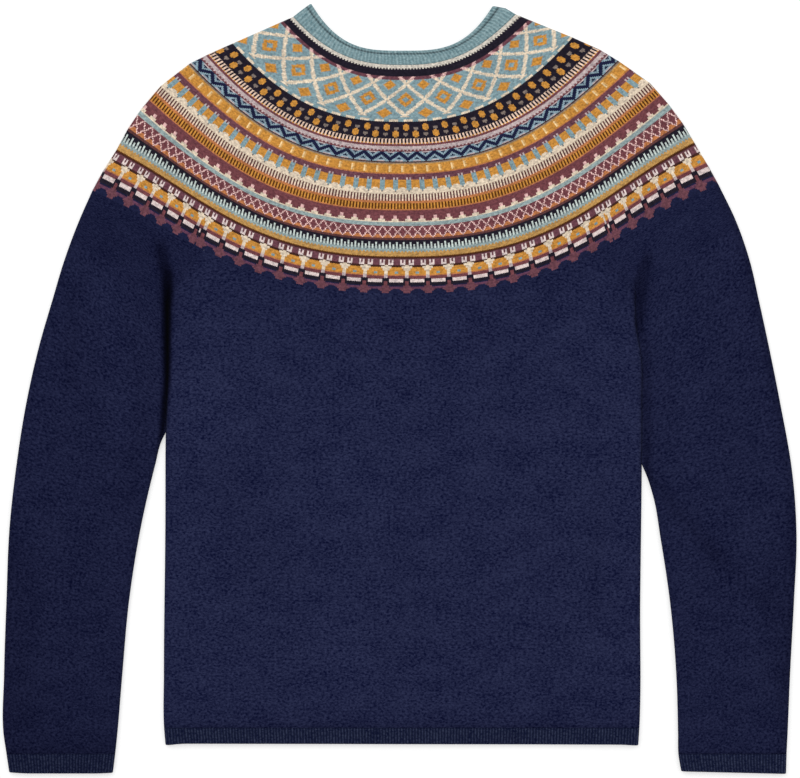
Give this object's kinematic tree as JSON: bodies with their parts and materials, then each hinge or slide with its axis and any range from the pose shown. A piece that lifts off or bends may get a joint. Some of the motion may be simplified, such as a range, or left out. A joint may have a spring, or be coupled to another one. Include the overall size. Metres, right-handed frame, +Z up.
{
  "type": "fair isle yoke sweater",
  "caption": "Long-sleeved knitted sweater with a round patterned yoke, laid flat with its front up: two layers of cloth joined at rounded side folds, with narrow ribbed bands.",
  "frame": {"origin": "centre of the laid-out sweater's bounding box, on the surface it lies on", "axes": "+X across the sweater towards the sleeve on the right of the view, +Y from the hem towards the neck, +Z up off the surface, out of the front"},
  "size_m": [0.7536, 0.7305, 0.0072],
  "materials": {
    "navy_knit": "soft heathered jersey knit",
    "navy_rib": "soft heathered rib knit",
    "yoke_knit": "stranded colour knit in bands",
    "blue_rib": "fine rib knit"
  },
  "bodies": {
    "root": {"neckband": "blue_rib", "yoke": "yoke_knit", "front": "navy_knit", "back": "navy_knit", "hem_band": "navy_rib", "sleeve_left": "navy_knit", "sleeve_right": "navy_knit", "cuff_left": "navy_rib", "cuff_right": "navy_rib"}
  },
  "joints": []
}
